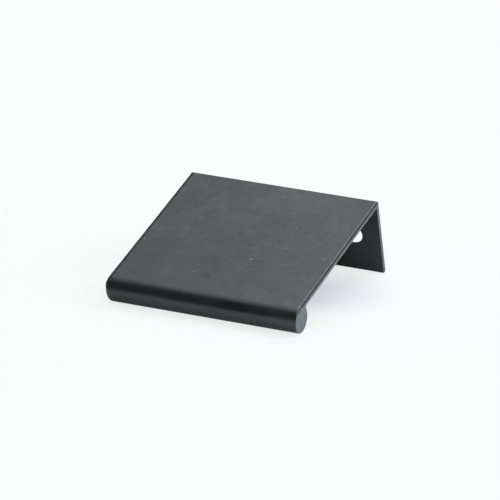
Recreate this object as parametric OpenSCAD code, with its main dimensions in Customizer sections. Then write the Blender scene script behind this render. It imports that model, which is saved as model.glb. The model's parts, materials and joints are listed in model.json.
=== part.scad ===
// Edge pull for a drawer or cabinet door: one length of extruded aluminium, sawn off square.
// A thin plate lies on the top edge of the drawer front, a round bead under its front edge
// is the grip, and a flange behind the front takes two countersunk screws.
// The origin is midway between the two screw holes, on the face of the flange that seats
// against the back of the drawer front. X runs along the pull, the bead is towards -Y, +Z is up.

/* [Plate] */
// Length of the pull along the drawer front
pull_l = 45; // [40:1:160]
// Depth from the back of the flange to the front of the bead
plate_d = 45; // [30:1:80]
// Thickness of the plate
plate_t = 1.3; // [0.8:0.1:2]

/* [Grip bead] */
// Diameter of the solid round bead
bead_d = 6; // [5:0.5:10]
// Radius of the fillet where the underside of the plate runs into the bead
bead_root_r = 0.4; // [0.2:0.1:0.8]

/* [Mounting flange] */
// Height of the flange, from its foot to the top of the plate
flange_h = 18.5; // [14:0.5:40]
// Thickness of the flange
flange_t = 1.1; // [0.9:0.1:2]
// Outer radius of the corner where plate and flange meet
corner_r = 0.6; // [0.2:0.1:0.8]
// Inner radius of the same corner
throat_r = 0.4; // [0.2:0.1:1]
// Radius on both edges of the flange's foot
foot_r = 0.3; // [0.1:0.05:0.4]

/* [Screw holes] */
// Distance between the centres of the two holes
hole_spacing = 32; // [16:1:35]
// Diameter of each clearance hole
hole_d = 4.5; // [3:0.1:5.5]
// Depth of the straight wall of a hole, measured from the seating face
hole_land = 0.3; // [0.2:0.05:0.7]
// Full angle of the countersink in the back of the flange
sink_angle = 90; // [82:1:100]

/* [Sawn ends] */
// Width of the broken edge that runs round each sawn end
edge_break = 0.2; // [0.1:0.05:0.3]

/* [Hidden] */
$fn = 64;
// How far a cut runs past the surface that it opens
overrun = 0.5;
// Height of the plate's top face above the screw holes, which sit at half the flange's height
plate_top = flange_h / 2;

// The section is drawn with u running back and v running up, from the corner that the
// plate's top face and the flange's back face would make if it were square.
bead_r = bead_d / 2;
bead_u = bead_r - plate_d;
bead_v = -bead_r;
seat_u = -flange_t;
under_v = -plate_t;
// The root fillet touches the underside of the plate and the outside of the bead
root_v = under_v - bead_root_r;
root_u = bead_u + sqrt(pow(bead_r + bead_root_r, 2) - pow(root_v - bead_v, 2));
// Direction from the centre of the root fillet to the centre of the bead, which is below it
root_angle = atan2(bead_v - root_v, bead_u - root_u);
// How far the fillet and the bead's free surface turn between the underside and the top face
root_sweep = 270 + root_angle;
bead_sweep = 450 + root_angle;

// What a corner rounded with radius r loses: the corner is at the origin, its metal below left
module corner_waste(r) {
    difference() {
        translate([-r, -r]) square(r + overrun);
        translate([-r, -r]) circle(r);
    }
}

// What a fillet of radius r adds in the angle between a ceiling and a wall on its right
module fillet_web(r) {
    difference() {
        translate([-r, -r]) square(r);
        translate([-r, -r]) circle(r);
    }
}

// Plate with the bead under its front edge, and the fillet between them
module plate_section() {
    translate([bead_u, under_v]) square([-bead_u, plate_t]);
    translate([bead_u, bead_v]) circle(bead_r);
    difference() {
        polygon([[bead_u, bead_v], [root_u, root_v], [root_u, under_v], [bead_u, under_v]]);
        translate([root_u, root_v]) circle(bead_root_r);
    }
}

// Flange, rounded at the foot
module flange_section() {
    difference() {
        translate([seat_u, -flange_h]) square([flange_t, flange_h]);
        translate([0, -flange_h]) mirror([0, 1]) corner_waste(foot_r);
        translate([seat_u, -flange_h]) rotate(180) corner_waste(foot_r);
    }
}

// The whole section that the die gives the extrusion
module pull_section() {
    difference() {
        union() {
            plate_section();
            flange_section();
            translate([seat_u, under_v]) fillet_web(throat_r);
        }
        corner_waste(corner_r);
    }
}

// Waste along one straight stretch of an end's outline: it runs along +X from the origin,
// with the metal to its right and the end face at z = 0
module straight_break(run) {
    rotate([90, 0, 90]) linear_extrude(run)
        polygon([[-edge_break, 0], [0, -edge_break], [overrun, -edge_break],
                 [overrun, overrun], [-edge_break, overrun]]);
}

// Waste round an outer curve of the outline, from angle a over the given sweep
module outer_break(r, a, sweep) {
    rotate(a) rotate_extrude(angle = sweep)
        polygon([[r - edge_break, 0], [r, -edge_break], [r + overrun, -edge_break],
                 [r + overrun, overrun], [r - edge_break, overrun]]);
}

// Waste round an inner curve of the outline
module inner_break(r, a, sweep) {
    rotate(a) rotate_extrude(angle = sweep)
        polygon([[r + edge_break, 0], [r, -edge_break], [0, -edge_break],
                 [0, overrun], [r + edge_break, overrun]]);
}

// The broken edge all the way round the end at z = 0, followed clockwise from the bead's top
module end_break() {
    translate([bead_u, 0, 0]) straight_break(-bead_u - corner_r);
    translate([-corner_r, -corner_r, 0]) outer_break(corner_r, 0, 90);
    translate([0, -corner_r, 0]) rotate(-90) straight_break(flange_h - corner_r - foot_r);
    translate([-foot_r, foot_r - flange_h, 0]) outer_break(foot_r, -90, 90);
    translate([-foot_r, -flange_h, 0]) rotate(180) straight_break(flange_t - 2 * foot_r);
    translate([seat_u + foot_r, foot_r - flange_h, 0]) outer_break(foot_r, 180, 90);
    translate([seat_u, foot_r - flange_h, 0]) rotate(90)
        straight_break(flange_h - foot_r - plate_t - throat_r);
    translate([seat_u - throat_r, under_v - throat_r, 0]) inner_break(throat_r, 0, 90);
    translate([seat_u - throat_r, under_v, 0]) rotate(180)
        straight_break(seat_u - throat_r - root_u);
    translate([root_u, root_v, 0]) inner_break(bead_root_r, 90, root_sweep);
    translate([bead_u, bead_v, 0]) outer_break(bead_r, 90, bead_sweep);
}

// One cut length of the extrusion, standing on end and centred on z = 0
module cut_length() {
    difference() {
        linear_extrude(pull_l, center = true) pull_section();
        for (end = [0, 1]) mirror([0, 0, end]) translate([0, 0, pull_l / 2]) end_break();
    }
}

// Clearance hole from the seating face, opening into a countersink at the back
module screw_hole() {
    sink_depth = flange_t - hole_land + overrun;
    rotate([-90, 0, 0]) {
        translate([0, 0, -overrun]) cylinder(h = flange_t + 2 * overrun, d = hole_d);
        translate([0, 0, hole_land])
            cylinder(h = sink_depth, d1 = hole_d, d2 = hole_d + 2 * sink_depth * tan(sink_angle / 2));
    }
}

// The finished pull
module edge_pull() {
    color([0.11, 0.12, 0.12])
    difference() {
        rotate([90, 0, 90]) translate([flange_t, plate_top, 0]) cut_length();
        for (side = [-1, 1]) translate([side * hole_spacing / 2, 0, 0]) screw_hole();
    }
}

edge_pull();
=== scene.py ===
# %% [markdown]
# # A black edge pull
#
# The object is a small pull for a drawer or a cabinet door, sawn from one length of an
# extrusion, which is taken to be aluminium. It has a thin plate, a round bead under the
# plate's front edge for the fingers, and a flange behind with two screw holes. The packed
# solid gives its place and its size. This script builds a finer skin in the same place,
# gives it its satin black finish, and sets up the floor, the light and the camera.

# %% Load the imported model
import json
import math

import bmesh
import bpy
from mathutils import Matrix, Vector


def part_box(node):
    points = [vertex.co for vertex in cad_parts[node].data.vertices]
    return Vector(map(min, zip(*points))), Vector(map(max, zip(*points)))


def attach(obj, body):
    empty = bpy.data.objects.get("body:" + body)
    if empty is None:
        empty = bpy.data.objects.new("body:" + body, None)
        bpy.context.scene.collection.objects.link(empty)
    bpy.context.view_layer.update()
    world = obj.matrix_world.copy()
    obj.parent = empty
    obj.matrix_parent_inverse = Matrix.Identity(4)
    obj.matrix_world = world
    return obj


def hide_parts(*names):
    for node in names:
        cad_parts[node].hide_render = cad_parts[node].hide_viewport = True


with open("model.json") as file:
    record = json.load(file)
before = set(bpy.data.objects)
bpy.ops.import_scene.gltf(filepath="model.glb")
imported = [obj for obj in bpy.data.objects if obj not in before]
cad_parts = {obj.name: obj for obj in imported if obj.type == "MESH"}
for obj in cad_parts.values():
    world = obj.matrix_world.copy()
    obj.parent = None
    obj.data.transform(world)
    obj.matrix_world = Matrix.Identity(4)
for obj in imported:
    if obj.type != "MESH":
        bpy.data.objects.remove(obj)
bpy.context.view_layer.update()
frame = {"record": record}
MM = 0.001

# %% [markdown]
# ## Overall sizes
#
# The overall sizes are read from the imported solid, and the screw holes from its record, so
# the skin can't drift away from the part. What a box doesn't say, such as a wall thickness
# or a small radius, is written further down, where it is first needed.

# %% Sizes of the pull
NODE = "edge_pull"
low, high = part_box(NODE)
holes = next(m for m in frame["record"]["mounts"] if m["kind"] == "bolt_pattern")
LENGTH = high.x - low.x
HALF = LENGTH / 2
FRONT, BACK = low.y, high.y
TOP, FOOT = high.z, low.z
SEAT = holes["pos_m"][1]
print("pull in mm:", round(LENGTH / MM, 2), "long,", round((BACK - FRONT) / MM, 2), "deep")

# %% [markdown]
# ## The outline of the section
#
# A die gives the pull its section, so the skin starts from that section too. Only its round
# stretches need points: each one is an arc with a centre, a radius and two angles, and the
# flat faces are the straight lines between one arc and the next. The fillet at the bead's
# root touches both the underside of the plate and the bead, which decides its centre.

# %% The arcs of the section
PLATE_T = 1.3 * MM
BEAD_R = 3.0 * MM
ROOT_R = 0.4 * MM
CORNER_R = 0.6 * MM
THROAT_R = 0.4 * MM
FOOT_R = 0.3 * MM
UNDER = TOP - PLATE_T
QUARTER = math.pi / 2

bead_y, bead_z = FRONT + BEAD_R, TOP - BEAD_R
root_z = UNDER - ROOT_R
root_y = bead_y + math.sqrt((BEAD_R + ROOT_R) ** 2 - (root_z - bead_z) ** 2)
root_end = math.atan2(bead_z - root_z, bead_y - root_y) + math.tau
bead_start = root_end - math.pi

# Each arc: centre y, centre z, radius, start angle, end angle, +1 if it bulges out of the metal
# and -1 if it bites into it, number of steps
ARCS = [
    (BACK - CORNER_R, TOP - CORNER_R, CORNER_R, QUARTER, 0.0, 1, 16),
    (BACK - FOOT_R, FOOT + FOOT_R, FOOT_R, 0.0, -QUARTER, 1, 8),
    (SEAT + FOOT_R, FOOT + FOOT_R, FOOT_R, -QUARTER, -2 * QUARTER, 1, 8),
    (SEAT - THROAT_R, UNDER - THROAT_R, THROAT_R, 0.0, QUARTER, -1, 8),
    (root_y, root_z, ROOT_R, QUARTER, root_end, -1, 10),
    (bead_y, bead_z, BEAD_R, bead_start, QUARTER - math.tau, 1, 96),
]
print("points in one ring:", sum(steps + 1 for *_, steps in ARCS))

# %% [markdown]
# ## The sawn edges
#
# A saw leaves a sharp edge, and tumbling takes it off, but not everywhere by the same
# amount. The edge between the plate's top and each sawn end loses most: the left one is
# rounded further along the pull, and the right one further down. The left end of the bead
# is quite round, and all other edges are only just broken.
#
# One function says how far the rounding runs along the pull and how far it drops into the
# section, for any point of the outline. The section can then be drawn smaller, ring by ring.
# An arc that bulges out of the metal loses radius when the outline shrinks, and one that
# bites into the metal gains it. Where a radius is used up, its corner slides inwards.

# %% Rings round the section
SHARP_R = 0.12 * MM
TOP_DROP = {-1: 0.4 * MM, 1: 0.6 * MM}
TOP_RUN = {-1: 0.95 * MM, 1: 0.5 * MM}
LEFT_R = 1.2 * MM
# Height of a face's normal from which its edge grows towards that of the plate's top
FACES_UP = 0.7
# How steeply the left end of the bead grows round on the way round it, and how late that starts
SWELL, SWELL_START = 1.5, 0.35


def ease(value):
    """Smooth step from 0 to 1."""
    value = min(max(value, 0.0), 1.0)
    return value * value * (3 - 2 * value)


def broken_edge(side, up, r, along):
    """The rounding of the sawn edge: its run along X and its drop into the section.

    It is told the side, the height of the face's normal, and the radius of the arc with the
    share of the way round it.
    """
    top =ease((up - FACES_UP) / (1 - FACES_UP))
    drop = SHARP_R + (TOP_DROP[side] - SHARP_R) * top
    run = SHARP_R + (TOP_RUN[side] - SHARP_R) * top
    if side < 0 and r == BEAD_R:
        swollen = ease(SWELL * math.sin(math.pi * along) - SWELL_START)
        drop += (LEFT_R - drop) * swollen
        run += (LEFT_R - run) * swollen
    return run, drop


def ring(side, turn):
    """Points clockwise round the section, seen from the right, where the rounding has turned so far."""
    points = []
    for y, z, r, start, end, sense, steps in ARCS:
        for i in range(steps + 1):
            a = start + (end - start) * i / steps
            run, drop = broken_edge(side, math.sin(a) * sense, r, i / steps)
            inset = drop * (1 - math.cos(turn))
            reach = max(r - inset * sense, 0.0)
            slip = max(inset * sense - r, 0.0)
            corner_y = y - slip * (math.cos(start) + math.cos(end))
            corner_z = z - slip * (math.sin(start) + math.sin(end))
            x = side * (HALF - run + run * math.sin(turn))
            points.append((x, corner_y + reach * math.cos(a), corner_z + reach * math.sin(a)))
    return points


print("top edge rounded along the pull in mm:", [round(run / MM, 2) for run in TOP_RUN.values()])
print("top edge rounded down in mm:", [round(drop / MM, 2) for drop in TOP_DROP.values()])

# %% [markdown]
# ## The skin
#
# The section is swept along X as rings of points joined by four-sided faces, the way an
# extrusion press would push it out. The last rings at each end shrink along a quarter of an
# ellipse, and one flat face closes the end. Real rounded edges matter more than any texture
# here, because they are what catches the light along the ends of the plate.
#
# A value is written on the points while they are made. It is one along the crest of every
# sawn edge, where the coat is thinnest and hands polish it, and zero on the flats. The
# finish uses it for wear and also for a painted highlight along these crests.

# %% Sweep the section
END_STEPS = 8
LONG, SAWN, DRILLED = 0, 1, 2
# The wear and painted highlight value is a half wave over the first part of the rounding
RUB_AND_HIGHLIGHT_WAVE = 2.6
# Points closer than this become one
SAME_POINT = MM / 1e4


def swept_section():
    """The pull without its holes, as a closed mesh."""
    shape = bmesh.new()
    rub_and_highlight = shape.verts.layers.float.new("rub_and_highlight")
    turns = [QUARTER * i / END_STEPS for i in range(END_STEPS + 1)]
    stations = [(-1, turn) for turn in reversed(turns)] + [(1, turn) for turn in turns]
    rings = [[shape.verts.new(place) for place in ring(side, turn)] for side, turn in stations]
    for (side, turn), points in zip(stations, rings):
        for point in points:
            # Wear and painted highlight along the crest of each rounded end
            point[rub_and_highlight] = max(math.sin(RUB_AND_HIGHLIGHT_WAVE * turn), 0.0)
    for a, b in zip(rings, rings[1:]):
        for i in range(len(a)):
            j = (i + 1) % len(a)
            shape.faces.new((a[i], b[i], b[j], a[j])).material_index = LONG
    for end_face in (list(reversed(rings[0])), rings[-1]):
        shape.faces.new(end_face).material_index = SAWN
    bmesh.ops.remove_doubles(shape, verts=shape.verts, dist=SAME_POINT)
    bmesh.ops.recalc_face_normals(shape, faces=shape.faces)
    return shape


def as_object(shape, name, slots=1):
    """Puts a finished bmesh into the scene, with empty material slots for its finishes."""
    mesh = bpy.data.meshes.new(name)
    for _ in range(slots):
        mesh.materials.append(None)
    shape.to_mesh(mesh)
    shape.free()
    piece = bpy.data.objects.new(name, mesh)
    bpy.context.scene.collection.objects.link(piece)
    return piece


pull = as_object(swept_section(), "edge_pull_skin", slots=3)
print("skin faces before the holes:", len(pull.data.polygons))

# %% [markdown]
# ## The screw holes
#
# Each hole is drilled from the back: a short straight wall at the seating face, then a
# countersink for the screw's head. A drill is a solid of revolution, so the cutter is a
# profile turned about the hole's axis, and a Boolean modifier takes it out of the flange.
# The profile rounds the rim at each face a little, as deburring does. The photograph shows
# one hole, from the front. The other is taken as its mirror image, and the countersink is
# a guess from the kind of pull.

# %% Drill and countersink
HOLE_X = holes["dims"]["spacing_x_mm"] * MM / 2
HOLE_R = holes["dims"]["hole_r_mm"] * MM
HOLE_LAND = 0.3 * MM
RIM = 0.04 * MM
RIM_STEPS = 3
# The rim at the back, in shares of RIM: depth below the face, and how far it is wider than the cone
BACK_RIM_SHARES = [(1, -1), (1 / 3, -1 / 4), (0, 1 / 2)]
CUTTER_STEPS = 96
# How far the cutter runs past each face, and how fast it widens behind the back one
PAST, PAST_FLARE = 0.5 * MM, 3
flange_t = BACK - SEAT
sink = flange_t - HOLE_LAND


def drill_profile():
    """(depth along +Y from the seating face, radius), with a rounded rim at each face."""
    yield -PAST, HOLE_R + RIM + PAST
    for i in range(RIM_STEPS + 1):
        a = QUARTER * i / RIM_STEPS
        yield RIM * (1 - math.cos(a)), HOLE_R + RIM * (1 - math.sin(a))
    yield HOLE_LAND, HOLE_R
    for below, wider in BACK_RIM_SHARES:
        yield flange_t - RIM * below, HOLE_R + sink + RIM * wider
    yield flange_t + PAST, HOLE_R + sink + RIM + PAST * PAST_FLARE


def drill(x):
    """A closed cutter for one hole, centred at x."""
    shape = bmesh.new()
    turns = [math.tau * i / CUTTER_STEPS for i in range(CUTTER_STEPS)]
    rings = []
    for depth, r in drill_profile():
        places = [(x + r * math.cos(a), SEAT + depth, r * math.sin(a)) for a in turns]
        rings.append([shape.verts.new(place) for place in places])
    for a, b in zip(rings, rings[1:]):
        for i in range(CUTTER_STEPS):
            j = (i + 1) % CUTTER_STEPS
            shape.faces.new((a[i], b[i], b[j], a[j]))
    shape.faces.new(rings[0])
    shape.faces.new(list(reversed(rings[-1])))
    bmesh.ops.recalc_face_normals(shape, faces=shape.faces)
    for face in shape.faces:
        face.material_index = DRILLED
    return as_object(shape, "drill", slots=3)


def cut(piece, cutter):
    """Takes the cutter out of the piece and keeps the result as plain mesh."""
    step = piece.modifiers.new("drill", "BOOLEAN")
    step.object, step.operation, step.solver = cutter, "DIFFERENCE", "EXACT"
    evaluated = piece.evaluated_get(bpy.context.evaluated_depsgraph_get())
    made = bpy.data.meshes.new_from_object(evaluated)
    piece.modifiers.clear()
    piece.data = made
    bpy.data.objects.remove(cutter)


for place in (-HOLE_X, HOLE_X):
    cut(pull, drill(place))
print("skin faces with the holes:", len(pull.data.polygons))

# %% [markdown]
# ## Smooth shading
#
# The flat faces have to stay flat to the eye right up to their rounded edges. Weighted
# normals give each corner the normal of its largest face, so all of the turning happens on
# the small arcs, and an edge that is really sharp stays sharp.

SHARP_FROM = math.radians(50)
mesh = pull.data
mesh.polygons.foreach_set("use_smooth", [True] * len(mesh.polygons))
mesh.set_sharp_from_angle(angle=SHARP_FROM)
weigh = pull.modifiers.new("weighted normals", "WEIGHTED_NORMAL")
weigh.keep_sharp = True
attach(pull, "root")
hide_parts(NODE)
print("points on the crests:", sum(v.value > 0.5 for v in mesh.attributes["rub_and_highlight"].data))

# %% [markdown]
# ## Words for building node trees
#
# A finish is a small machine: values go in, and colour, roughness and height come out. These
# helpers keep each group as short as a recipe. The first makes a group with named sockets,
# the second adds a node and fills or links its inputs, and the others are the few nodes that
# come back again and again.

# %% Node helpers
# Operations on vectors whose result is a number
SINGLE = ("DISTANCE", "LENGTH", "DOT_PRODUCT")


def new_group(name, inputs, outputs):
    """An empty shader node group with float sockets: inputs by name and default, outputs by name."""
    group = bpy.data.node_groups.new(name, "ShaderNodeTree")
    for label, default in inputs.items():
        socket = group.interface.new_socket(label, in_out="INPUT", socket_type="NodeSocketFloat")
        socket.default_value = default
    for label in outputs:
        group.interface.new_socket(label, in_out="OUTPUT", socket_type="NodeSocketFloat")
    return group, group.nodes.new("NodeGroupInput"), group.nodes.new("NodeGroupOutput")


def add(tree, kind, sockets=None, **settings):
    """A node of one kind; sockets gives its inputs values, or outputs of other nodes to link."""
    node = tree.nodes.new("ShaderNode" + kind)
    for name, value in settings.items():
        setattr(node, name, value)
    for key, value in (sockets or {}).items():
        if isinstance(value, bpy.types.NodeSocket):
            tree.links.new(value, node.inputs[key])
        else:
            node.inputs[key].default_value = value
    return node


def calc(tree, operation, *values):
    """The result of one Math node."""
    return add(tree, "Math", dict(enumerate(values)), operation=operation).outputs[0]


def calc_vector(tree, operation, *values):
    """The result of one Vector Math node, which is a single number for some operations."""
    node = add(tree, "VectorMath", dict(enumerate(values)), operation=operation)
    return node.outputs["Value" if operation in SINGLE else "Vector"]


def scaled(tree, vector, factor):
    """A vector or a colour times a number."""
    return add(tree, "VectorMath", {0: vector, "Scale": factor}, operation="SCALE").outputs[0]


def remap(tree, value, start, end, first=0.0, last=1.0, curve="LINEAR"):
    """A value carried from the range start to end over to first to last, and held at both ends."""
    sockets = {0: value, 1: start, 2: end, 3: first, 4: last}
    return add(tree, "MapRange", sockets, interpolation_type=curve).outputs[0]


def tinted(tree, factor, under, over):
    """One colour laid over another by a factor."""
    return add(tree, "Mix", {0: factor, 6: under, 7: over}, data_type="RGBA").outputs[2]


def place_in_object(tree):
    """The shaded point in the object's own frame, in metres."""
    return add(tree, "TexCoord").outputs["Object"]


print("vector operations that give a number:", *SINGLE)

# %% [markdown]
# ## Mottling
#
# A dark satin finish is never quite even. The bath leaves soft patches, a little lighter or
# duller than their neighbours, and the face under it is never quite flat. The group puts out
# a factor for the colour, an offset for the roughness and a height of some hundredths of a
# millimetre over a patch. Each comes from a noise of its own, all with one patch size.

# %% Mottling group
mottling, given, result = new_group(
    "mottling",
    {"Patch mm": 3.0, "Shade amount": 0.1, "Sheen amount": 0.03, "Wave mm": 0.01},
    ["Shade", "Sheen", "Height"],
)
spot = place_in_object(mottling)
scale = calc(mottling, "DIVIDE", 1 / MM, given.outputs["Patch mm"])
wave = calc(mottling, "MULTIPLY", given.outputs["Wave mm"], MM)
# Each output swings about its middle by an amount
SWINGS = [
    ("Shade", 1.0, given.outputs["Shade amount"]),
    ("Sheen", 0.0, given.outputs["Sheen amount"]),
    ("Height", 0.0, wave),
]
for number, (output, middle, amount) in enumerate(SWINGS):
    patches = add(
        mottling,
        "TexNoise",
        {"Vector": spot, "W": float(number), "Scale": scale, "Detail": 3.0, "Roughness": 0.55},
        noise_dimensions="4D",
    )
    swing = calc(mottling, "MULTIPLY_ADD", patches.outputs[0], 2.0, -1.0)
    swing = calc(mottling, "MULTIPLY_ADD", swing, amount, middle)
    mottling.links.new(swing, result.inputs[output])
print("mottling:", len(mottling.nodes), "nodes")

# %% [markdown]
# ## Grain
#
# Aluminium is etched or blasted before it is dyed or coated, and that leaves a fine, even
# frost of pits, far too small to model. It is a height for the Bump node, in metres, so its
# depth is a real depth.

# %% Grain group
grain, given, result = new_group("grain", {"Grain mm": 0.12, "Depth mm": 0.002}, ["Height"])
scale = calc(grain, "DIVIDE", 1 / MM, given.outputs["Grain mm"])
spot = place_in_object(grain)
frost = add(grain, "TexNoise", {"Vector": spot, "Scale": scale, "Detail": 2.0, "Roughness": 0.6})
depth = calc(grain, "MULTIPLY", given.outputs["Depth mm"], MM)
grain.links.new(calc(grain, "MULTIPLY", frost.outputs[0], depth), result.inputs["Height"])
print("grain:", len(grain.nodes), "nodes")

# %% [markdown]
# ## Lines left by tools
#
# Three tools leave lines. The die draws them straight along the length, a saw blade draws
# shallow arcs across the ends, and a drill draws rings round the holes. In each case the
# height depends on one distance only, so one group serves all three: it turns a distance
# into uneven fine lines.

# %% Tool line group
tool_lines, given, result = new_group(
    "tool_lines", {"Distance": 0.0, "Pitch mm": 0.1, "Depth mm": 0.002}, ["Height"]
)
count = calc(tool_lines, "DIVIDE", given.outputs["Distance"], MM)
count = calc(tool_lines, "DIVIDE", count, given.outputs["Pitch mm"])
lines = add(tool_lines, "TexNoise", {"W": count, "Scale": 1.0, "Detail": 3.0}, noise_dimensions="1D")
depth = calc(tool_lines, "MULTIPLY", given.outputs["Depth mm"], MM)
tool_lines.links.new(calc(tool_lines, "MULTIPLY", lines.outputs[0], depth), result.inputs["Height"])
print("tool lines:", len(tool_lines.nodes), "nodes")

# %% [markdown]
# ## The distances that tools draw with
#
# Each tool gets the distance that its lines follow. For the die it changes round the
# section but not along the pull. For the blade it is measured from the blade's axis, and
# for the drill from the middle of its hole. Where the blade's axis was is a guess: any
# place well clear of the pull gives such shallow arcs.

# %% Distances for the tool lines
BLADE_AHEAD, BLADE_BELOW = 60 * MM, 110 * MM


def along_die(tree):
    """A distance that changes round the section but not along the length."""
    at = add(tree, "SeparateXYZ", {0: place_in_object(tree)})
    return calc(tree, "SUBTRACT", at.outputs["Y"], at.outputs["Z"])


def along_blade(tree):
    """Distance from the axis of the saw blade, which stands below and before the pull."""
    axis = (0, FRONT - BLADE_AHEAD, FOOT - BLADE_BELOW)
    flat = calc_vector(tree, "MULTIPLY", place_in_object(tree), (0, 1, 1))
    return calc_vector(tree, "DISTANCE", flat, axis)


def along_drill(tree):
    """Distance from the axis of the nearer screw hole."""
    at = add(tree, "SeparateXYZ", {0: place_in_object(tree)})
    across = calc(tree, "SUBTRACT", calc(tree, "ABSOLUTE", at.outputs["X"]), HOLE_X)
    radial = add(tree, "CombineXYZ", {"X": across, "Z": at.outputs["Z"]})
    return calc_vector(tree, "LENGTH", radial.outputs[0])


print("blade axis in mm before and below:", round(BLADE_AHEAD / MM), round(BLADE_BELOW / MM))

# %% [markdown]
# ## Dust
#
# The photograph shows a few pale specks on the plate. The larger ones are placed one by one
# where they lie, and a cell pattern scatters finer ones between them. Dust settles, so only
# faces that look up carry any.

# %% Specks of dust
# Places on the plate's top in millimetres from the origin, each with its radius
SPECKS = [
    (4.9, -27.1, 0.26),
    (-17.2, -23.7, 0.11),
    (0.0, -20.5, 0.13),
    (10.3, -21.2, 0.21),
    (9.5, -13.5, 0.17),
    (-5.2, -34.7, 0.12),
    (-5.7, -36.3, 0.11),
    (-9.0, -36.9, 0.12),
    (16.4, -12.8, 0.15),
    (20.0, -22.9, 0.22),
    (-21.2, -26.0, 0.18),
    (3.2, -9.6, 0.14),
]
# Shares of a speck's radius where it starts to show and where it is full
SPECK_RIM_SHARE, SPECK_CORE_SHARE = 1.6, 0.3
LOOKS_UP = 0.8

dust_inputs = {"Spacing mm": 1.6, "Radius mm": 0.04, "Share": 0.35}
dust, given, result = new_group("dust", dust_inputs, ["Specks", "Scuff"])
normal = add(dust, "SeparateXYZ", {0: add(dust, "NewGeometry").outputs["Normal"]})
looks_up = calc(dust, "GREATER_THAN", normal.outputs["Z"], LOOKS_UP)
in_mm = scaled(dust, place_in_object(dust), 1 / MM)
flat_mm = calc_vector(dust, "MULTIPLY", in_mm, (1, 1, 0))

density = calc(dust, "DIVIDE", 1.0, given.outputs["Spacing mm"])
cells = add(dust, "TexVoronoi", {"Vector": in_mm, "Scale": density})
reach = calc(dust, "MULTIPLY", cells.outputs["Distance"], given.outputs["Spacing mm"])
lottery = add(dust, "SeparateColor", {0: cells.outputs["Color"]})
size = calc(dust, "MULTIPLY", lottery.outputs[1], given.outputs["Radius mm"])
drawn = calc(dust, "LESS_THAN", lottery.outputs[0], given.outputs["Share"])
specks = calc(dust, "MULTIPLY", calc(dust, "LESS_THAN", reach, size), drawn)
for x, y, radius in SPECKS:
    gap = calc_vector(dust, "DISTANCE", flat_mm, (x, y, 0))
    fade = remap(dust, gap, radius * SPECK_RIM_SHARE, radius * SPECK_CORE_SHARE, curve="SMOOTHSTEP")
    specks = calc(dust, "MAXIMUM", specks, fade)
dust.links.new(calc(dust, "MULTIPLY", specks, looks_up), result.inputs["Specks"])
print("dust:", len(SPECKS), "placed specks")

# %% [markdown]
# ## The scuff
#
# One soft scuff, under a centimetre long, lies on the plate left of its middle. It is the
# area near a straight line, and it fades out with the distance from that line. A noise
# stretched along X, which is nearly the direction of the scuff, breaks it into streaks.

# %% Scuff on the plate
# Ends of the line and distance where the scuff fades out, in millimetres like the specks
SCUFF_FROM, SCUFF_TO, SCUFF_R = (-9.5, -28.0), (-1.0, -27.0), 1.1
# Cells of the streak noise in one millimetre along X, Y and Z
STREAKS = (0.25, 4.0, 1.0)

run = Vector((*SCUFF_TO, 0)) - Vector((*SCUFF_FROM, 0))
from_start = calc_vector(dust, "SUBTRACT", flat_mm, (*SCUFF_FROM, 0))
share = calc_vector(dust, "DOT_PRODUCT", from_start, run / run.length_squared)
share = add(dust, "Clamp", {0: share}).outputs[0]
gap = calc_vector(dust, "DISTANCE", from_start, scaled(dust, run, share))
fade = remap(dust, gap, SCUFF_R, 0.0, curve="SMOOTHERSTEP")
smear = calc_vector(dust, "MULTIPLY", in_mm, STREAKS)
streaks = add(dust, "TexNoise", {"Vector": smear, "Scale": 1.0, "Detail": 2.0}).outputs[0]
scuff = calc(dust, "MULTIPLY", calc(dust, "MULTIPLY", fade, streaks), looks_up)
dust.links.new(scuff, result.inputs["Scuff"])
print("scuff:", round(run.length, 1), "mm long; dust group:", len(dust.nodes), "nodes")

# %% [markdown]
# ## The satin black finish
#
# One function makes the finish for each kind of surface, because the recipe is the same and
# only its values change. The coat is a plain non-metal with a slightly high refractive
# index, like a sealed oxide layer. The sawn ends are duller and have a paler, bluer coat:
# partly a guess that a rough face takes the dye less well, and partly painted light that
# the ends reflect from the floor and from blue light on the right. Dust lightens the colour,
# and the edge crests lighten it too, partly as wear and partly as a painted highlight.
# Mottling changes both colour and roughness, and all heights go into one Bump node.

# %% Finish
COAT = (0.0095, 0.0112, 0.0108, 1)
# Paler, bluer coat of the sawn ends: partly a guessed finish, partly painted light that they reflect
# from the floor and from blue light on the right
SAWN_COAT_AND_LIGHT = (0.094, 0.108, 0.127, 1)
# Pale colour for the edge crests: thin coat from wear, and a painted highlight
THIN_COAT_AND_HIGHLIGHT = (0.085, 0.091, 0.096, 1)
DUST_TONE = (0.20, 0.205, 0.20, 1)
COAT_IOR = 1.6
SATIN, SAWN_SATIN = 0.34, 0.40
# How strongly the broad patches change the colour
LONG_MOTTLE, SAWN_MOTTLE = 1.7, 0.5
PATCHES = {"Patch mm": 16.0, "Sheen amount": 0.11, "Wave mm": 0.13}
FLECKS = {"Patch mm": 1.4, "Shade amount": 0.7, "Sheen amount": 0.12, "Wave mm": 0.0}
FROST = {"Grain mm": 0.10, "Depth mm": 0.0025}
# Share of the pale colour on the edge crests, wear and painted highlight together, and what rubbing
# adds to the roughness
RUB_AND_HIGHLIGHT_SHARE, RUB_SHEEN = 0.6, -0.06
# The thin coat and its painted highlight show in light flecks only: they start at the first of these
# shades
SPOTS_FROM, SPOTS_TO = 0.95, 1.25
SCUFF_SHARE = 0.08
# What a speck adds to the roughness and to the height
SPECK_SHEEN, SPECK_HEIGHT = 0.3, 0.01 * MM


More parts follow.
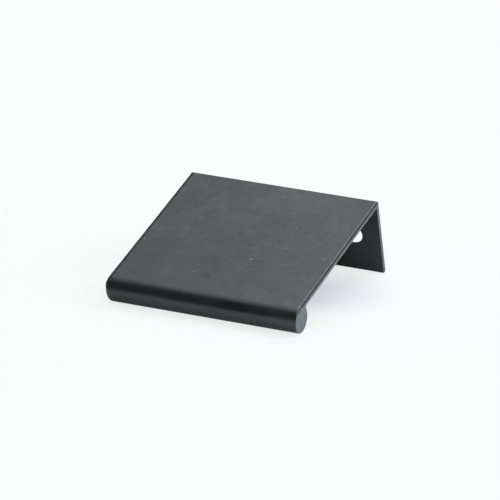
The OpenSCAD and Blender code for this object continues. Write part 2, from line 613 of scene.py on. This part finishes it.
def satin_black(name, coat, mottle, roughness, lines_along, pitch, line_depth):
    """The finish on one kind of surface, with the lines of the tool that made it."""
    mat = bpy.data.materials.new(name)
    mat.use_nodes = True
    tree = mat.node_tree
    skin = tree.nodes["Principled BSDF"]
    patches = add(tree, "Group", PATCHES | {"Shade amount": mottle}, node_tree=mottling)
    flecks = add(tree, "Group", FLECKS, node_tree=mottling)
    frost = add(tree, "Group", FROST, node_tree=grain)
    line_values = {"Distance": lines_along(tree), "Pitch mm": pitch, "Depth mm": line_depth}
    lines = add(tree, "Group", line_values, node_tree=tool_lines)
    settled = add(tree, "Group", node_tree=dust)
    wear_and_highlight = add(tree, "Attribute", attribute_name="rub_and_highlight").outputs["Fac"]

    shade = calc(tree, "MULTIPLY", patches.outputs["Shade"], flecks.outputs["Shade"])
    spotty = remap(tree, flecks.outputs["Shade"], SPOTS_FROM, SPOTS_TO)
    # Edge crests: worn thin coat and a painted highlight
    worn_and_highlit = calc(tree, "MULTIPLY", calc(tree, "MULTIPLY", wear_and_highlight, spotty), RUB_AND_HIGHLIGHT_SHARE)
    colour = tinted(tree, worn_and_highlit, scaled(tree, coat[:3], shade), THIN_COAT_AND_HIGHLIGHT)
    scuffed = calc(tree, "MULTIPLY", settled.outputs["Scuff"], SCUFF_SHARE)
    colour = tinted(tree, scuffed, colour, DUST_TONE)
    colour = tinted(tree, settled.outputs["Specks"], colour, DUST_TONE)
    tree.links.new(colour, skin.inputs["Base Color"])

    satin = calc(tree, "ADD", patches.outputs["Sheen"], roughness)
    satin = calc(tree, "ADD", flecks.outputs["Sheen"], satin)
    satin = calc(tree, "MULTIPLY_ADD", wear_and_highlight, RUB_SHEEN, satin)
    satin = calc(tree, "MULTIPLY_ADD", settled.outputs["Specks"], SPECK_SHEEN, satin)
    tree.links.new(satin, skin.inputs["Roughness"])

    height = calc(tree, "ADD", frost.outputs["Height"], lines.outputs["Height"])
    height = calc(tree, "ADD", height, patches.outputs["Height"])
    height = calc(tree, "MULTIPLY_ADD", settled.outputs["Specks"], SPECK_HEIGHT, height)
    bump = add(tree, "Bump", {"Height": height, "Distance": 1.0, "Strength": 1.0})
    tree.links.new(bump.outputs[0], skin.inputs["Normal"])
    skin.inputs["IOR"].default_value = COAT_IOR
    return mat


# Each finish: name, coat, mottle, roughness, line distance, then pitch and depth of the lines in mm
FINISHES = {
    LONG: ("satin_black", COAT, LONG_MOTTLE, SATIN, along_die, 0.35, 0.002),
    SAWN: ("satin_black_sawn", SAWN_COAT_AND_LIGHT, SAWN_MOTTLE, SAWN_SATIN, along_blade, 0.16, 0.003),
    DRILLED: ("satin_black_drilled", COAT, LONG_MOTTLE, SATIN, along_drill, 0.12, 0.003),
}
for index, finish in FINISHES.items():
    pull.data.materials[index] = satin_black(*finish)
    print(finish[0], "on", sum(face.material_index == index for face in pull.data.polygons), "faces")

# %% [markdown]
# ## Where the floor lies
#
# Lying on its front, the pull touches the floor along the bead and along the inner edge of
# the flange's foot. The floor is the plane that touches both round edges from below, which
# two radii and two centres decide. The pull stays in its own frame, so it is the floor that
# is tilted, and the light and the camera are placed from the floor.

# %% Tilt and height of the floor


def resting_floor():
    """Tilt of the floor that touches bead and foot, and its height along its own normal."""
    foot_y, foot_z = SEAT + FOOT_R, FOOT + FOOT_R
    dy, dz = bead_y - foot_y, bead_z - foot_z
    tilt = math.atan2(dy, dz) + math.acos((BEAD_R - FOOT_R) / math.hypot(dy, dz))
    return tilt, foot_y * math.sin(tilt) + foot_z * math.cos(tilt) - FOOT_R


floor_tilt, floor_height = resting_floor()
room = Matrix.Rotation(-floor_tilt, 4, "X")
print("floor tilt in degrees:", round(math.degrees(floor_tilt), 3))
print("floor height in mm:", round(floor_height / MM, 3))

# %% [markdown]
# ## The paper floor
#
# The floor is white paper. In the photograph it is nearly pure white, but a soft shadow
# with a blue cast lies under the plate on its right. Light strong enough for such a white
# would make the pull too bright. So the camera sees a mix of the lit paper and plain white,
# with less white in the shadow, more of it round the pull and nearly all of it far away.
# Reflections get a small share of that white, and all other light meets plain paper. The
# floor is one sided, so a view from under it still shows the pull.

# %% Paper floor
FLOOR_SIZE = 5.0
PAPER = (0.95, 0.93, 0.90, 1)
WHITE = (0.965, 0.98, 0.973, 1)
# Painted blue-grey shade: near the shadow's middle the camera's white turns into this
SHADE_TONE = (0.845, 0.892, 0.935, 1)
PAPER_ROUGHNESS, PAPER_SHINE = 0.8, 0.1
# Share of white that the camera sees in the paper: in the shadow, round the pull, and far away
GLOW_SHADE, GLOW_NEAR, GLOW_FAR = 0.60, 0.79, 0.98
# Middle of the shadow on the floor, and the distances from it, in metres, where the white grows
SHADE_PLACE = (0.018, -0.015, 0.0)
SHADE_FROM, SHADE_TO = 0.005, 0.015
GLOW_FROM, GLOW_TO = 0.030, 0.120
# Share of the camera's white that a reflection gets
GLOSS_SHARE = 0.14

shape = bmesh.new()
bmesh.ops.create_grid(shape, x_segments=1, y_segments=1, size=FLOOR_SIZE / 2)
floor = as_object(shape, "floor")
floor.matrix_world = room @ Matrix.Translation((0, 0, floor_height))

paper = bpy.data.materials.new("floor_paper")
paper.use_nodes = True
tree = paper.node_tree
sheet = tree.nodes["Principled BSDF"]
sheet.inputs["Base Color"].default_value = PAPER
sheet.inputs["Roughness"].default_value = PAPER_ROUGHNESS
sheet.inputs["Specular IOR Level"].default_value = PAPER_SHINE
away = calc_vector(tree, "DISTANCE", place_in_object(tree), SHADE_PLACE)
clear = remap(tree, away, SHADE_FROM, SHADE_TO)
near = remap(tree, clear, 0.0, 1.0, GLOW_SHADE, GLOW_NEAR)
far = remap(tree, away, GLOW_FROM, GLOW_TO, 0.0, GLOW_FAR - GLOW_NEAR)
lift = calc(tree, "ADD", near, far)
# Near the shadow's middle the glow is the painted blue-grey shade, elsewhere white
glow = add(tree, "Emission", {"Color": tinted(tree, clear, SHADE_TONE, WHITE), "Strength": 1.0})
path = add(tree, "LightPath").outputs
seen = calc(tree, "MULTIPLY_ADD", path["Is Glossy Ray"], GLOSS_SHARE, path["Is Camera Ray"])
seen = calc(tree, "MULTIPLY", seen, lift)
lit = add(tree, "MixShader", {0: seen, 1: sheet.outputs[0], 2: glow.outputs[0]})
under = add(tree, "NewGeometry").outputs["Backfacing"]
clear_back = add(tree, "BsdfTransparent").outputs[0]
one_sided = add(tree, "MixShader", {0: under, 1: lit.outputs[0], 2: clear_back})
tree.links.new(one_sided.outputs[0], tree.nodes["Material Output"].inputs["Surface"])
floor.data.materials[0] = paper
print("floor material:", len(tree.nodes), "nodes")

# %% [markdown]
# ## The sky
#
# The bead is a mirror of the studio, bent round a cylinder. Read from top to front in the
# photograph, it says: bright overhead and behind, dark above the camera, bright again from
# the floor. So the sky behind the pull fades from grey overhead to dark grey at the floor,
# and in front it stays dark all the way up. The camera itself sees a white background.

# %% Sky
HIGH_SKY, LOW_SKY, FRONT_SKY = 0.24, 0.06, 0.080
# How far up a direction points where the sky starts to grow brighter, and where that ends
UP_FROM, UP_TO = 0.1, 0.7
# How far to the front a direction points where the front sky starts, and where it is alone
FRONT_FROM, FRONT_TO = -0.1, 0.5

world = bpy.data.worlds.new("studio")
bpy.context.scene.world = world
world.use_nodes = True
tree = world.node_tree
tree.nodes.clear()
looking = add(tree, "TexCoord").outputs["Generated"]
ahead = calc_vector(tree, "DOT_PRODUCT", looking, room.to_3x3() @ Vector((0, -1, 0)))
aloft = calc_vector(tree, "DOT_PRODUCT", looking, room.to_3x3() @ Vector((0, 0, 1)))
back_sky = remap(tree, aloft, UP_FROM, UP_TO, LOW_SKY, HIGH_SKY, curve="SMOOTHSTEP")
sky = remap(tree, ahead, FRONT_FROM, FRONT_TO, back_sky, FRONT_SKY, curve="SMOOTHSTEP")
dim = add(tree, "Background", {"Color": (1, 1, 1, 1), "Strength": sky})
white = add(tree, "Background", {"Color": WHITE, "Strength": 1.0})
seen = add(tree, "LightPath").outputs["Is Camera Ray"]
both = add(tree, "MixShader", {0: seen, 1: dim.outputs[0], 2: white.outputs[0]})
tree.links.new(both.outputs[0], add(tree, "OutputWorld").inputs["Surface"])
print("sky:", len(tree.nodes), "nodes")

# %% [markdown]
# ## The lamps
#
# Four soft panels make the light. A wide one hangs level over the pull and far behind it,
# and ends just in front of it. A small and slightly warm key light hangs just below its
# middle, so behind the pull on the right, where the sawn edges catch it. One more panel
# stands on the right, and one in front, higher than the camera. Each panel is given by how
# bright it looks, so a change of its size leaves that as it is.

# %% Lamps
COOL, BLUE, WARM = (0.875, 1.005, 1.035), (0.90, 1.0, 1.13), (1.0, 0.93, 0.93)
MIDDLE = (0.0, 0.0, 0.0)


def panel(name, centre, aim, size, radiance, tint, spin=0.0):
    """A soft light panel at a place in the room, facing its aim, with a given brightness."""
    light = bpy.data.lights.new(name, "AREA")
    light.shape = "RECTANGLE"
    light.size, light.size_y = size
    light.energy = radiance * math.pi * light.size * light.size_y
    light.color = tint
    lamp = bpy.data.objects.new(name, light)
    bpy.context.scene.collection.objects.link(lamp)
    facing = (Vector(centre) - Vector(aim)).to_track_quat("Z", "Y")
    pose = Matrix.LocRotScale(Vector(centre), facing, None) @ Matrix.Rotation(spin, 4, "Z")
    lamp.matrix_world = room @ pose
    return lamp


lamps = [
    panel(
        "overhead_panel",
        centre=(0.165, 0.325, 0.55),
        aim=(0.165, 0.325, 0.0),
        size=(1.0, 0.8),
        radiance=1.50,
        tint=COOL,
        spin=math.radians(16.3),
    ),
    panel("key_light", (0.17, 0.31, 0.49), MIDDLE, size=(0.3, 0.3), radiance=1.9, tint=WARM),
    panel("right_panel", (0.85, 0.10, 0.42), MIDDLE, size=(0.8, 0.7), radiance=1.40, tint=BLUE),
    panel("front_panel", (0.45, -0.55, 0.72), MIDDLE, size=(0.8, 0.6), radiance=1.80, tint=BLUE),
]
print("lamps in watts:", {lamp.name: round(lamp.data.energy, 2) for lamp in lamps})

# %% [markdown]
# ## The camera
#
# The camera stands where the photograph was taken from: about a fifth of a right angle above
# the floor, to the right of the pull, with a long lens. Its angles are measured from the
# floor, and the roll is the small tilt of a camera that was not quite level.

# %% Camera
AZIMUTH, ELEVATION, ROLL = math.radians(24.882), math.radians(18.728), math.radians(1.006)
DISTANCE = 886.09 * MM
AIM = Vector((-0.117, -18.570, -0.650)) * MM
LENS, SENSOR = 294.6, 36.0
NEAREST, FARTHEST = 0.05, 20.0

level_look = math.cos(ELEVATION)
backward = Vector((
    math.sin(AZIMUTH) * level_look,
    -math.cos(AZIMUTH) * level_look,
    math.sin(ELEVATION),
))
level = Vector((0, 0, 1)).cross(backward).normalized()
rise = backward.cross(level)
right = level * math.cos(ROLL) + rise * math.sin(ROLL)
up = rise * math.cos(ROLL) - level * math.sin(ROLL)
pose = Matrix((right, up, backward)).transposed().to_4x4()
pose.translation = AIM + backward * DISTANCE
camera = bpy.data.objects.new("camera", bpy.data.cameras.new("camera"))
bpy.context.scene.collection.objects.link(camera)
camera.matrix_world = room @ pose
camera.data.lens, camera.data.sensor_width = LENS, SENSOR
camera.data.clip_start, camera.data.clip_end = NEAREST, FARTHEST
bpy.context.scene.camera = camera
bpy.context.scene.view_settings.view_transform = "Standard"
bpy.context.view_layer.update()
print("camera in mm:", [round(v / MM, 1) for v in camera.matrix_world.translation])
